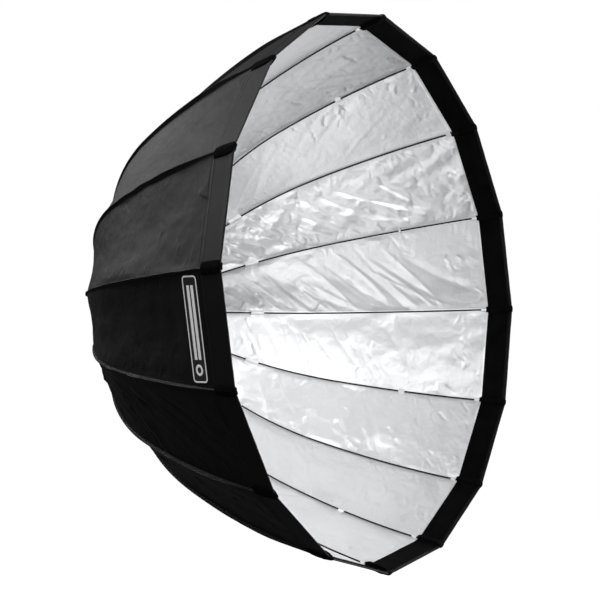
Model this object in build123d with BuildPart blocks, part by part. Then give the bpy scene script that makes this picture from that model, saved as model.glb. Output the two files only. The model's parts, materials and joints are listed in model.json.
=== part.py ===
from build123d import *

import os
from math import atan, cos, degrees, radians, sin, tan

# A folding deep parabolic reflector: sixteen sprung rods hinged on a hub hold a fabric dish open.
# The origin is the centre of the light port in the plane that seats on the flash head.
# +Y runs along the light axis towards the flash head, the dish opens towards -Y, and +Z is up.
# Profiles are drawn on the XY plane, where x is the distance from the light axis.

# ---- driving dimensions, in mm and degrees ----
rib_count = 16
rim_radius = 600.0  # to the fabric ridge over a rib, at the rim
dish_depth = 680.0  # from the hinge plane to the rim plane

pivot_radius = 78.0  # of the circle of hinge pins
pivot_y = -34.0
root_slope = 73.0  # of a rib at the hub, measured from the light axis
middle_slope = 27.5  # where the tight arc hands over to the flat one
rim_slope = 14.0

rod_radius = 1.75
rod_root_length = 42.0  # straight length from the hinge pin, in the knuckle
rod_start = 12.0  # the rod's inner end, from the hinge pin
rod_fit = 0.05
tip_set_back = 8.0  # from the rim edge to the rod's end, along the rib
cap_radius = 2.6
cap_length = 16.0
cap_wall = 2.0

fabric_thickness = 1.2
fabric_behind_root = 7.2  # from the rod's centre to the fabric's middle
fabric_behind_rim = 3.6
fabric_start = 26.0  # from the hinge pin, along the rib
panel_gap = 0.3  # between neighbouring canopy panels

knuckle_width = 10.0
knuckle_eye_radius = 6.0
socket_radius = 4.5
heel_length = 14.0
heel_swing = 20.0  # each way from square to the light axis
heel_ball_radius = 3.0
heel_neck_width = 3.2
pin_radius = 2.0
pin_length = 20.0
pin_fit = 0.06
pin_press_fit = 0.03

hub_radius = 94.0
hub_rear_y = -3.5
hub_front_y = -50.0
slot_width = 10.6
slot_rear_y = -24.0
slot_inner_radius = 66.0
cavity_radius = 68.0
plate_rear_y = -12.3
plate_front_y = -18.0
tube_inner_radius = 50.5
tube_outer_radius = 54.0

insert_radius = 76.0
insert_rear_y = -3.8
port_radius = 49.0
collar_radius = 53.0
collar_rear_y = 9.0
seat_inner_radius = 61.0
seat_outer_radius = 71.5
lug_radius = 58.5
lug_front_y = 4.0
lug_count = 3
lug_sweep = 38.0
body_gap = 0.3  # between parts that move past each other

retainer_inner_radius = 72.0
retainer_outer_radius = 92.0
retainer_rear_y = -1.2
retainer_screw_circle = 84.0
retainer_screw_count = 6

cover_thickness = 2.5
cover_inner_radius = 66.0
cover_notch_radius = 73.5
cover_screw_circle = 84.0
cover_screw_count = 8
screw_radius = 1.5
screw_head_radius = 2.75
screw_head_height = 1.3
screw_length = 9.0

runner_bore_fit = 0.05
runner_outer_radius = 67.5
runner_groove_radius = 60.5
groove_clearance = 0.15
flange_thickness = 3.0
tab_inner_radius = 60.5
tab_outer_radius = 64.0
tab_length = 16.0
tab_sweep = 40.0

stop_ring_outer_radius = 57.5
stop_ring_groove_radius = 52.8
stop_ring_thickness = 2.0
stop_ring_opening = 30.0

plunger_radius = 3.0
plunger_nose_radius = 2.0
plunger_count = 4
plunger_recess = 0.5  # of the outer end, below the hub's side

lock_y = -8.1
lock_angle = 191.25  # from the top, between two ribs
stud_radius = 2.5
stud_fit = 0.05
knob_radius = 8.0
knob_start_radius = 96.0
knob_length = 12.0
knob_flutes = 8
knob_flute_radius = 1.6

# ---- derived dimensions ----
half_gore = 180.0 / rib_count
rib_pitch = 360.0 / rib_count
rim_y = pivot_y - dish_depth
rod_rim_radius = rim_radius - fabric_behind_rim / cos(radians(half_gore))
runner_y = pivot_y - heel_length * sin(radians(heel_swing))
runner_half = heel_ball_radius + groove_clearance + flange_thickness
cover_front_y = hub_front_y - cover_thickness
full_turn = 360.0

pivot = Vector(pivot_radius, pivot_y)
rod_tip = Vector(rod_rim_radius, rim_y)


def along(slope):
    """The direction of a rib at a slope, on the profile plane."""
    return Vector(sin(radians(slope)), -cos(radians(slope)))


def behind(slope):
    """The direction square to a rib at a slope, towards the outside of the dish."""
    return Vector(cos(radians(slope)), sin(radians(slope)))


def arc_radii(start, end, slopes):
    """The radii of two tangent arcs that run from start to end with the three slopes given."""
    root, middle, rim = (radians(slope) for slope in slopes)
    tight = (cos(middle) - cos(root), sin(root) - sin(middle))
    flat = (cos(rim) - cos(middle), sin(middle) - sin(rim))
    outward = end.X - start.X
    forward = start.Y - end.Y
    determinant = tight[0] * flat[1] - tight[1] * flat[0]
    tight_radius = (outward * flat[1] - forward * flat[0]) / determinant
    flat_radius = (forward * tight[0] - outward * tight[1]) / determinant
    return tight_radius, flat_radius


def rib_line(first, start, end, slopes, set_back=0.0):
    """Draws a rib's line in the open BuildLine: straight from first to start, then the two arcs to end."""
    tight_radius, flat_radius = arc_radii(start, end, slopes)
    flat_angle = slopes[1] - slopes[2] - degrees(set_back / flat_radius)
    Line(first, start)
    tight = JernArc(start, along(slopes[0]), tight_radius, slopes[1] - slopes[0])
    JernArc(tight @ 1, tight % 1, flat_radius, -flat_angle)


def save(part, label):
    """Names a finished piece and writes it."""
    part.label = label
    export_step(part, f"parts/{label}.step")


def save_turned(part, label, angle):
    """Writes a piece drawn at +X turned about the light axis to an angle from the top."""
    save(part.rotate(Axis.Y, angle - 90), label)


def web_angles(count, first=0):
    """Angles from +X of hub webs, which lie midway between ribs, evenly spaced."""
    return [half_gore + first * rib_pitch + turn * full_turn / count for turn in range(count)]


os.makedirs("parts", exist_ok=True)
slopes = (root_slope, middle_slope, rim_slope)

# ---- rod with its tip cap ----
with BuildPart() as rod:
    with BuildLine(Plane.XY) as rod_path:
        rib_line(
            pivot + along(root_slope) * rod_start,
            pivot + along(root_slope) * rod_root_length,
            rod_tip,
            slopes,
            tip_set_back,
        )
    with BuildSketch(Plane(origin=rod_path.line @ 0, z_dir=rod_path.line % 0)):
        Circle(rod_radius)
    sweep()

rod_end = rod_path.line @ 1
rod_end_direction = rod_path.line % 1
cap_plane = Plane(origin=rod_end + rod_end_direction * cap_wall, z_dir=-rod_end_direction)
with BuildPart() as cap:
    with BuildSketch(cap_plane):
        Circle(cap_radius)
    extrude(amount=cap_length)
    fillet(cap.faces().sort_by(Axis.X)[-1].edges(), cap_wall / 2)
cap_shell = cap.part - rod.part
rod_and_cap = Compound(children=[rod.part, cap_shell])

# ---- knuckle, which holds the rod on its hinge pin ----
heel_tip = pivot + Vector(-cos(radians(heel_swing)), -sin(radians(heel_swing))) * heel_length
with BuildPart() as knuckle:
    with BuildSketch(Plane.XY.offset(-knuckle_width / 2)):
        with BuildLine():
            Line(pivot, heel_tip)
        trace(line_width=heel_neck_width)
        with BuildLine():
            Line(pivot, pivot + along(root_slope) * rod_start)
        trace(line_width=2 * socket_radius)
        with Locations(pivot):
            Circle(knuckle_eye_radius)
        with Locations(heel_tip):
            Circle(heel_ball_radius)
    extrude(amount=knuckle_width)
    chamfer(knuckle.edges().group_by(Axis.Z)[0], 0.6)
    chamfer(knuckle.edges().group_by(Axis.Z)[-1], 0.6)
    socket_plane = Plane(
        origin=pivot + along(root_slope) * (knuckle_eye_radius / 2),
        z_dir=Vector(*along(root_slope)),
    )
    with BuildSketch(socket_plane):
        Circle(socket_radius)
    extrude(amount=rod_root_length - knuckle_eye_radius / 2)
    socket_mouth = knuckle.faces().sort_by(Axis.X)[-1]
    chamfer(socket_mouth.edges(), 1.0)
    with BuildSketch(Plane(origin=pivot + along(root_slope) * rod_start, z_dir=Vector(*along(root_slope)))):
        Circle(rod_radius + rod_fit)
    extrude(amount=rod_root_length, mode=Mode.SUBTRACT)
    with Locations(Plane(origin=pivot)):
        Hole(pin_radius + pin_fit)

# ---- canopy panel: half a gore on each side of its rib ----
mid_gore_scale = cos(radians(half_gore))
panel_slopes = [degrees(atan(tan(radians(slope)) * mid_gore_scale)) for slope in slopes]


def on_mid_gore(point):
    """A point on the rib's plane, moved to the same place across the gore's middle."""
    return Vector(point.X * mid_gore_scale, point.Y)


panel_plane = Plane(
    origin=(0, 0, 0),
    x_dir=(cos(radians(half_gore)), 0, sin(radians(half_gore))),
    z_dir=(-sin(radians(half_gore)), 0, cos(radians(half_gore))),
)
fabric_root = pivot + behind(root_slope) * fabric_behind_root
with BuildPart() as panel:
    with BuildSketch(panel_plane.offset(-panel_gap / 2)):
        with BuildLine():
            rib_line(
                on_mid_gore(fabric_root + along(root_slope) * fabric_start),
                on_mid_gore(fabric_root + along(root_slope) * rod_root_length),
                on_mid_gore(rod_tip + behind(rim_slope) * fabric_behind_rim),
                panel_slopes,
            )
        trace(line_width=fabric_thickness)
    extrude(amount=-rim_radius * tan(radians(half_gore)) * 1.1)
    split(bisect_by=Plane.XY, keep=Keep.TOP)
    mirror(about=Plane.XY)

# ---- hub body ----
hub_profile = [
    (tube_inner_radius, plate_rear_y),
    (insert_radius + body_gap, plate_rear_y),
    (insert_radius + body_gap, hub_rear_y),
    (hub_radius, hub_rear_y),
    (hub_radius, hub_front_y),
    (cavity_radius, hub_front_y),
    (cavity_radius, plate_front_y),
    (tube_outer_radius, plate_front_y),
    (tube_outer_radius, hub_front_y),
    (tube_inner_radius, hub_front_y),
]
stop_ring_rear_y = runner_y - runner_half - body_gap
stop_ring_y = stop_ring_rear_y - stop_ring_thickness / 2
slot_length = slot_rear_y - cover_front_y + 1
slot_reach = hub_radius - slot_inner_radius + 1


def around_axis(plane_angle, radius=0.0, height=0.0):
    """A plane at an angle from +X about the light axis: its x runs outwards and its y along +Y."""
    outward = Vector(cos(radians(plane_angle)), 0, -sin(radians(plane_angle)))
    return Plane(
        origin=outward * radius + Vector(0, height, 0),
        x_dir=outward,
        z_dir=outward.cross(Vector(0, 1, 0)),
    )


def facing_out(plane_angle, radius, height):
    """A plane whose normal points away from the light axis, at an angle from +X."""
    outward = Vector(cos(radians(plane_angle)), 0, -sin(radians(plane_angle)))
    return Plane(origin=outward * radius + Vector(0, height, 0), z_dir=outward)


with BuildPart() as hub:
    with BuildSketch(Plane.XY):
        with BuildLine():
            Polyline(hub_profile, close=True)
        make_face()
    revolve(axis=Axis.Y)
    outer_edges = hub.edges().filter_by(GeomType.CIRCLE).sort_by(lambda edge: edge.radius)[-2:]
    chamfer(outer_edges, 1.5)
    for rib in range(rib_count):
        slot_plane = around_axis(rib * rib_pitch, slot_inner_radius, slot_rear_y)
        with BuildSketch(slot_plane.offset(-slot_width / 2)):
            Rectangle(slot_reach, slot_length, align=(Align.MIN, Align.MAX))
        extrude(amount=slot_width, mode=Mode.SUBTRACT)
        with BuildSketch(around_axis(rib * rib_pitch, pivot_radius, pivot_y).offset(-pin_length / 2)):
            Circle(pin_radius + pin_press_fit)
        extrude(amount=pin_length, mode=Mode.SUBTRACT)
    with Locations(*[facing_out(angle, hub_radius, runner_y + runner_half + plunger_nose_radius)
                     for angle in web_angles(plunger_count)]):
        Hole(plunger_radius + stud_fit, hub_radius - cavity_radius + 1)
    with Locations(facing_out(lock_angle - 90, hub_radius, lock_y)):
        Hole(stud_radius + stud_fit, hub_radius - insert_radius)
    for angle in web_angles(cover_screw_count, 1):
        with Locations(Plane(origin=around_axis(angle, cover_screw_circle, hub_front_y).origin,
                             z_dir=(0, -1, 0))):
            Hole(screw_radius + stud_fit, screw_length)
    for turn in range(retainer_screw_count):
        with Locations(Plane(origin=around_axis(turn * full_turn / retainer_screw_count,
                                                retainer_screw_circle, hub_rear_y).origin,
                             z_dir=(0, 1, 0))):
            Hole(screw_radius + stud_fit, screw_length)
    with BuildSketch(Plane.XY):
        with Locations(((tube_outer_radius + stop_ring_groove_radius) / 2, stop_ring_y)):
            Rectangle(tube_outer_radius - stop_ring_groove_radius, stop_ring_thickness + 0.1)
    revolve(axis=Axis.Y, mode=Mode.SUBTRACT)
save(hub.part, "hub_body")

# ---- hinge pins ----
with BuildPart() as pins:
    for rib in range(rib_count):
        with BuildSketch(around_axis(rib * rib_pitch, pivot_radius, pivot_y).offset(-pin_length / 2)):
            Circle(pin_radius)
        extrude(amount=pin_length)
save(pins.part, "hinge_pins")

# ---- front cover, notched for the folding rods ----
with BuildPart() as cover:
    with BuildSketch(Plane.XZ.offset(-hub_front_y)):
        Circle(hub_radius)
        Circle(cover_inner_radius, mode=Mode.SUBTRACT)
        for rib in range(rib_count):
            with Locations(Rotation(0, 0, rib * rib_pitch) * Pos(hub_radius, 0)):
                Rectangle(2 * (hub_radius - cover_notch_radius), slot_width + body_gap,
                          mode=Mode.SUBTRACT)
        with PolarLocations(cover_screw_circle, cover_screw_count, -half_gore - rib_pitch):
            Circle(screw_radius + stud_fit, mode=Mode.SUBTRACT)
    extrude(amount=cover_thickness)
save(cover.part, "front_cover")


def screws(planes):
    """Pan-head screws: each head's underside is on its plane, with the head outwards."""
    with BuildPart() as group:
        for plane in planes:
            with BuildSketch(plane):
                Circle(screw_head_radius)
            extrude(amount=screw_head_height)
            with BuildSketch(plane):
                Circle(screw_radius)
            extrude(amount=-(screw_length - 1))
    return group.part


cover_screw_planes = [
    Plane(origin=around_axis(angle, cover_screw_circle, cover_front_y).origin, z_dir=(0, -1, 0))
    for angle in web_angles(cover_screw_count, 1)
]
save(screws(cover_screw_planes), "cover_screws")

# ---- retaining ring, which keeps the insert in the hub ----
retainer_thickness = retainer_rear_y - hub_rear_y
with BuildPart() as retainer:
    with BuildSketch(Plane.XZ.offset(-hub_rear_y)):
        Circle(retainer_outer_radius)
        Circle(retainer_inner_radius, mode=Mode.SUBTRACT)
        with PolarLocations(retainer_screw_circle, retainer_screw_count):
            Circle(screw_radius + stud_fit, mode=Mode.SUBTRACT)
    extrude(amount=-retainer_thickness)
    for turn in range(retainer_screw_count):
        place = around_axis(turn * full_turn / retainer_screw_count, retainer_screw_circle,
                            retainer_rear_y).origin
        with BuildSketch(Plane(origin=place, z_dir=(0, -1, 0))):
            Circle(screw_head_radius + body_gap)
        extrude(amount=screw_head_height, mode=Mode.SUBTRACT)
save(retainer.part, "retaining_ring")

retainer_screw_seat = retainer_rear_y - screw_head_height
retainer_screw_planes = [
    Plane(origin=around_axis(turn * full_turn / retainer_screw_count, retainer_screw_circle,
                             retainer_screw_seat).origin, z_dir=(0, 1, 0))
    for turn in range(retainer_screw_count)
]
save(screws(retainer_screw_planes), "retaining_screws")

# ---- bayonet insert, which turns in the hub and locks in the flash head ----
insert_profile = [
    (port_radius, plate_rear_y + body_gap),
    (insert_radius, plate_rear_y + body_gap),
    (insert_radius, insert_rear_y),
    (seat_outer_radius, insert_rear_y),
    (seat_outer_radius, 0),
    (seat_inner_radius, 0),
    (seat_inner_radius, insert_rear_y),
    (collar_radius, insert_rear_y),
    (collar_radius, collar_rear_y),
    (port_radius, collar_rear_y),
]
with BuildPart() as insert:
    with BuildSketch(Plane.XY):
        with BuildLine():
            Polyline(insert_profile, close=True)
        make_face()
    revolve(axis=Axis.Y)
    for lug in range(lug_count):
        with BuildSketch(around_axis(lug * full_turn / lug_count - lug_sweep / 2)):
            with Locations((collar_radius - 1, lug_front_y)):
                Rectangle(lug_radius - collar_radius + 1, collar_rear_y - lug_front_y,
                          align=(Align.MIN, Align.MIN))
        revolve(axis=Axis.Y, revolution_arc=lug_sweep)
save(insert.part, "bayonet_insert")

# ---- runner ring, which the knuckle heels move together ----
groove_half = heel_ball_radius + groove_clearance
runner_profile = [
    (tube_outer_radius + runner_bore_fit, runner_y - runner_half),
    (runner_outer_radius, runner_y - runner_half),
    (runner_outer_radius, runner_y - groove_half),
    (runner_groove_radius, runner_y - groove_half),
    (runner_groove_radius, runner_y + groove_half),
    (runner_outer_radius, runner_y + groove_half),
    (runner_outer_radius, runner_y + runner_half),
    (tube_outer_radius + runner_bore_fit, runner_y + runner_half),
]
with BuildPart() as runner:
    with BuildSketch(Plane.XY):
        with BuildLine():
            Polyline(runner_profile, close=True)
        make_face()
    revolve(axis=Axis.Y)
    for tab_angle in (0, 180):
        with BuildSketch(around_axis(tab_angle - tab_sweep / 2)):
            with Locations((tab_inner_radius, runner_y - runner_half + 1)):
                Rectangle(tab_outer_radius - tab_inner_radius, tab_length + 1,
                          align=(Align.MIN, Align.MAX))
        revolve(axis=Axis.Y, revolution_arc=tab_sweep)
save(runner.part, "runner_ring")

# ---- snap ring that stops the runner ----
with BuildPart() as stop_ring:
    with BuildSketch(around_axis(stop_ring_opening / 2)):
        with Locations(((stop_ring_groove_radius + 0.1 + stop_ring_outer_radius) / 2, stop_ring_y)):
            Rectangle(stop_ring_outer_radius - stop_ring_groove_radius - 0.1, stop_ring_thickness)
    revolve(axis=Axis.Y, revolution_arc=full_turn - stop_ring_opening)
save(stop_ring.part, "runner_stop_ring")

# ---- spring plungers that click the runner open ----
plunger_y = runner_y + runner_half + plunger_nose_radius
plunger_body_start = cavity_radius + 2.0
plunger_nose_tip = runner_outer_radius + body_gap
with BuildPart() as plungers:
    for angle in web_angles(plunger_count):
        with BuildSketch(facing_out(angle, plunger_body_start, plunger_y)):
            Circle(plunger_radius)
        extrude(amount=hub_radius - plunger_recess - plunger_body_start)
        with BuildSketch(facing_out(angle, plunger_nose_tip, plunger_y)):
            Circle(plunger_nose_radius)
        extrude(amount=plunger_body_start - plunger_nose_tip)
save(plungers.part, "detent_plungers")

# ---- lock screw: a stud with a fluted knob ----
with BuildPart() as stud:
    with BuildSketch(Plane.YZ.offset(insert_radius + body_gap)):
        with Locations((lock_y, 0)):
            Circle(stud_radius)
    extrude(amount=knob_start_radius + knob_length / 2 - insert_radius - body_gap)
    chamfer(stud.faces().sort_by(Axis.X)[0].edges(), 0.5)
save_turned(stud.part, "lock_stud", lock_angle)

with BuildPart() as knob:
    with BuildSketch(Plane.YZ.offset(knob_start_radius)):
        with Locations((lock_y, 0)):
            Circle(knob_radius)
            with PolarLocations(knob_radius + knob_flute_radius / 2, knob_flutes):
                Circle(knob_flute_radius, mode=Mode.SUBTRACT)
    extrude(amount=knob_length)
    with BuildSketch(Plane.YZ.offset(knob_start_radius)):
        with Locations((lock_y, 0)):
            Circle(stud_radius)
    extrude(amount=knob_length / 2, mode=Mode.SUBTRACT)
save_turned(knob.part, "lock_knob", lock_angle)

# ---- the sixteen ribs, numbered clockwise from the top as seen from the flash head's side ----
for rib in range(rib_count):
    number = f"{rib + 1:02d}"
    save_turned(rod_and_cap, f"rod_{number}", rib * rib_pitch)
    save_turned(knuckle.part, f"knuckle_{number}", rib * rib_pitch)
    save_turned(panel.part, f"canopy_panel_{number}", rib * rib_pitch)
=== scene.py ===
import json
from math import cos, pi, radians, sin, tan

import bmesh
import bpy
import numpy as np
from mathutils import Matrix, Vector


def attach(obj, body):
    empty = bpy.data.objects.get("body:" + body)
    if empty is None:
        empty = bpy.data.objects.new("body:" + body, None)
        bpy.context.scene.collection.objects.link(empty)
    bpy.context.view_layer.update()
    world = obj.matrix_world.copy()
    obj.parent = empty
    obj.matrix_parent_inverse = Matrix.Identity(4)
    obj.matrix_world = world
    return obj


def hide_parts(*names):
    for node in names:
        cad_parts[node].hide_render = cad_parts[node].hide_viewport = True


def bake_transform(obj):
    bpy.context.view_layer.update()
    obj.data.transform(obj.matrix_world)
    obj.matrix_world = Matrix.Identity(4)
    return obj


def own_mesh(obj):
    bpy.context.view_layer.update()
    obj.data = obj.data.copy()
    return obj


# A folding deep parabolic reflector. Lengths are in metres, in the CAD frame: the light axis is Y,
# the dish opens towards -Y, +Z is up, and rib 1 is at the top with the others going towards +X.

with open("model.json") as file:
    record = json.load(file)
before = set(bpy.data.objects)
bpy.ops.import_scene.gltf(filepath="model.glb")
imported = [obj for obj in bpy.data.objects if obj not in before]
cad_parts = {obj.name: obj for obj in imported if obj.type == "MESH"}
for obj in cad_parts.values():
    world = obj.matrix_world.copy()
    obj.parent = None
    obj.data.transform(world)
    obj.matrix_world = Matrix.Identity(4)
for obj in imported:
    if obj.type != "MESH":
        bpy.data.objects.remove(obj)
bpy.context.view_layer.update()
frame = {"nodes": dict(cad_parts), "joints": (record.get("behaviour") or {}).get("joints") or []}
nodes = frame["nodes"]

# ---- driving dimensions ----
RIBS = 16
PITCH = 2 * pi / RIBS
HALF_GORE = PITCH / 2
FIRST_HINGE = next(j for j in frame["joints"] if j["name"] == "rib_01_fold")
PIVOT_R, PIVOT_Y = FIRST_HINGE["pos_m"][2], FIRST_HINGE["pos_m"][1]
RIM_RADIUS = 0.600
RIM_Y = -0.714
ROOT_SLOPE, MIDDLE_SLOPE, RIM_SLOPE = radians(73.0), radians(27.5), radians(14.0)
ROOT_STRAIGHT = 0.042
FABRIC_START = 0.026
FABRIC_BEHIND_ROOT, FABRIC_BEHIND_RIM = 0.0072, 0.0036
FABRIC_THICKNESS = 0.0007
ROD_RADIUS = 0.00175
BAND_WIDTH = 0.058  # of the hook-and-loop band inside the rim, along the rib
BAND_THICKNESS = 0.0013
HEM_WIDTH = 0.005  # of the outer fabric folded in over the rim
SEAM_HEIGHT = 0.0082  # of the bound seam that stands along each rib outside
POCKET_LENGTH, POCKET_WIDTH, POCKET_HEIGHT = 0.060, 0.026, 0.0052
STRAP_WIDTH = 0.0165  # of the pocket's roll over the rim and across the band
SEAM_ROUNDING = 0.006
STITCH_PITCH = 0.0042
CRISP = radians(45)
FOLD_BANDS = 16  # strips along a rib
FORWARD = np.array((0.0, 1.0, 0.0))  # from the dish's mouth towards its back, as the fabric's normal leans


# ---- camera ----
CAMERA_AZIMUTH, CAMERA_ELEVATION, CAMERA_ROLL = radians(-56.45), radians(-5.07), radians(-0.34)
CAMERA_DISTANCE = 5.839 * RIM_RADIUS  # to the rim's plane, along the view
CAMERA_ASIDE, CAMERA_ABOVE = 0.3098 * RIM_RADIUS, 0.0339 * RIM_RADIUS  # of the rim's centre in the view
CAMERA_LENS = 98.33


def make_camera():
    """The camera: to the front left of the dish and a little below its axis."""
    back = Vector((
        sin(CAMERA_AZIMUTH) * cos(CAMERA_ELEVATION),
        -cos(CAMERA_AZIMUTH) * cos(CAMERA_ELEVATION),
        sin(CAMERA_ELEVATION),
    ))
    level = Vector((0, 0, 1)).cross(back).normalized()
    upright = back.cross(level)
    right = level * cos(CAMERA_ROLL) + upright * sin(CAMERA_ROLL)
    up = upright * cos(CAMERA_ROLL) - level * sin(CAMERA_ROLL)
    data = bpy.data.cameras.new("camera")
    data.lens = CAMERA_LENS
    camera = bpy.data.objects.new("camera", data)
    rim_centre = Vector((0, RIM_Y, 0))
    camera.location = rim_centre - right * CAMERA_ASIDE - up * CAMERA_ABOVE + back * CAMERA_DISTANCE
    camera.rotation_mode = "QUATERNION"
    camera.rotation_quaternion = Matrix((right, up, back)).transposed().to_quaternion()
    bpy.context.scene.collection.objects.link(camera)
    bpy.context.scene.camera = camera


make_camera()


# ---- the rib's line, as in the CAD ----
def along(slope):
    return np.array((sin(slope), -cos(slope)))


def behind(slope):
    return np.array((cos(slope), sin(slope)))


def arc_radii(start, end):
    """The radii of the two tangent arcs from start to end with the rib's three slopes."""
    tight = (cos(MIDDLE_SLOPE) - cos(ROOT_SLOPE), sin(ROOT_SLOPE) - sin(MIDDLE_SLOPE))
    flat = (cos(RIM_SLOPE) - cos(MIDDLE_SLOPE), sin(MIDDLE_SLOPE) - sin(RIM_SLOPE))
    outward, forward = end[0] - start[0], start[1] - end[1]
    determinant = tight[0] * flat[1] - tight[1] * flat[0]
    return (
        (outward * flat[1] - forward * flat[0]) / determinant,
        (forward * tight[0] - outward * tight[1]) / determinant,
    )


class RibLine:
    """A line along a rib on its own plane, at given offsets behind the rod's centre."""

    def __init__(self, behind_root, behind_rim):
        pivot = np.array((PIVOT_R, PIVOT_Y))
        rod_rim = np.array((RIM_RADIUS - FABRIC_BEHIND_RIM / cos(HALF_GORE), RIM_Y))
        root = pivot + behind(ROOT_SLOPE) * behind_root
        self.first = root + along(ROOT_SLOPE) * FABRIC_START
        self.start = root + along(ROOT_SLOPE) * ROOT_STRAIGHT
        self.straight = ROOT_STRAIGHT - FABRIC_START
        end = rod_rim + behind(RIM_SLOPE) * behind_rim / cos(HALF_GORE)
        self.tight, self.flat = arc_radii(self.start, end)
        self.tight_length = self.tight * (ROOT_SLOPE - MIDDLE_SLOPE)
        self.flat_length = self.flat * (MIDDLE_SLOPE - RIM_SLOPE)
        self.length = self.straight + self.tight_length + self.flat_length

    def at(self, s):
        """Points (radius, y) and slopes at distances s from the line's first point."""
        s = np.atleast_1d(np.asarray(s, float))
        on_tight = np.clip(s - self.straight, 0, self.tight_length)
        on_flat = s - self.straight - self.tight_length
        middle = ROOT_SLOPE - on_tight / self.tight
        slope = np.where(on_flat > 0, MIDDLE_SLOPE - on_flat / self.flat, middle)
        straight = np.minimum(s, self.straight)
        r = self.first[0] + straight * sin(ROOT_SLOPE)
        y = self.first[1] - straight * cos(ROOT_SLOPE)
        r = r + self.tight * (np.cos(middle) - cos(ROOT_SLOPE))
        y = y - self.tight * (sin(ROOT_SLOPE) - np.sin(middle))
        flat = on_flat > 0
        r = r + np.where(flat, self.flat * (np.cos(slope) - cos(MIDDLE_SLOPE)), 0)
        y = y - np.where(flat, self.flat * (sin(MIDDLE_SLOPE) - np.sin(slope)), 0)
        return r, y, slope


FABRIC = RibLine(FABRIC_BEHIND_ROOT, FABRIC_BEHIND_RIM)
ROD = RibLine(0.0, 0.0)


def outward(angle):
    """The direction away from the light axis at an angle from the top towards +X."""
    return np.array((sin(angle), 0.0, cos(angle)))


def rib_angle(rib):
    return rib * PITCH


def rib_name(rib):
    return f"{rib % RIBS + 1:02d}"


# ---- seeded noise ----
def value_noise(x, y, seed):
    """Smooth noise from -1 to 1 on a unit lattice."""
    size = 256
    lattice = np.random.default_rng(seed).random((size, size)) * 2 - 1
    xi, yi = np.floor(x).astype(int), np.floor(y).astype(int)
    xf, yf = x - xi, y - yi
    xf, yf = xf**3 * (xf * (xf * 6 - 15) + 10), yf**3 * (yf * (yf * 6 - 15) + 10)
    a, b = lattice[xi % size, yi % size], lattice[(xi + 1) % size, yi % size]
    c, d = lattice[xi % size, (yi + 1) % size], lattice[(xi + 1) % size, (yi + 1) % size]
    return (a * (1 - xf) + b * xf) * (1 - yf) + (c * (1 - xf) + d * xf) * yf


def layered_noise(x, y, seed):
    """Three layers of noise, each half as wide and half as high as the one before."""
    total, scale = 0, 1.0
    for layer in range(3):
        total = total + value_noise(x / scale, y / scale, seed + layer) * scale
        scale *= 0.5
    return total


# ---- mesh helpers ----
def link(name, mesh):
    piece = bpy.data.objects.new(name, mesh)
    bpy.context.scene.collection.objects.link(piece)
    return piece


def grid_faces(rows, columns, first=0, flip=False):
    """Quads over a grid of points stored row by row."""
    i, j = np.meshgrid(np.arange(rows - 1), np.arange(columns - 1), indexing="ij")
    a = (first + i * columns + j).ravel()
    quads = np.stack([a, a + 1, a + columns + 1, a + columns], axis=1)
    return quads[:, ::-1] if flip else quads


def mesh_from(name, points, faces, materials, slots=None, normals=None):
    mesh = bpy.data.meshes.new(name)
    mesh.from_pydata(points.tolist(), [], faces.tolist() if hasattr(faces, "tolist") else faces)
    for material in materials:
        mesh.materials.append(material)
    if slots is not None:
        mesh.polygons.foreach_set("material_index", np.asarray(slots, np.int32))
    mesh.polygons.foreach_set("use_smooth", np.full(len(mesh.polygons), True))
    mesh.update()
    if normals is not None:
        mesh.normals_split_custom_set_from_vertices(normals.tolist())
    return mesh


# ---- materials ----
def new_material(name, colour, roughness, metallic=0.0, **inputs):
    """A Principled material with its even values on the shader's own sockets."""
    material = bpy.data.materials.new(name)
    material.use_nodes = True
    shader = material.node_tree.nodes["Principled BSDF"]
    shader.inputs["Base Color"].default_value = (*colour, 1)
    shader.inputs["Roughness"].default_value = roughness
    shader.inputs["Metallic"].default_value = metallic
    for key, value in inputs.items():
        shader.inputs[key.replace("_", " ")].default_value = value
    return material


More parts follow.
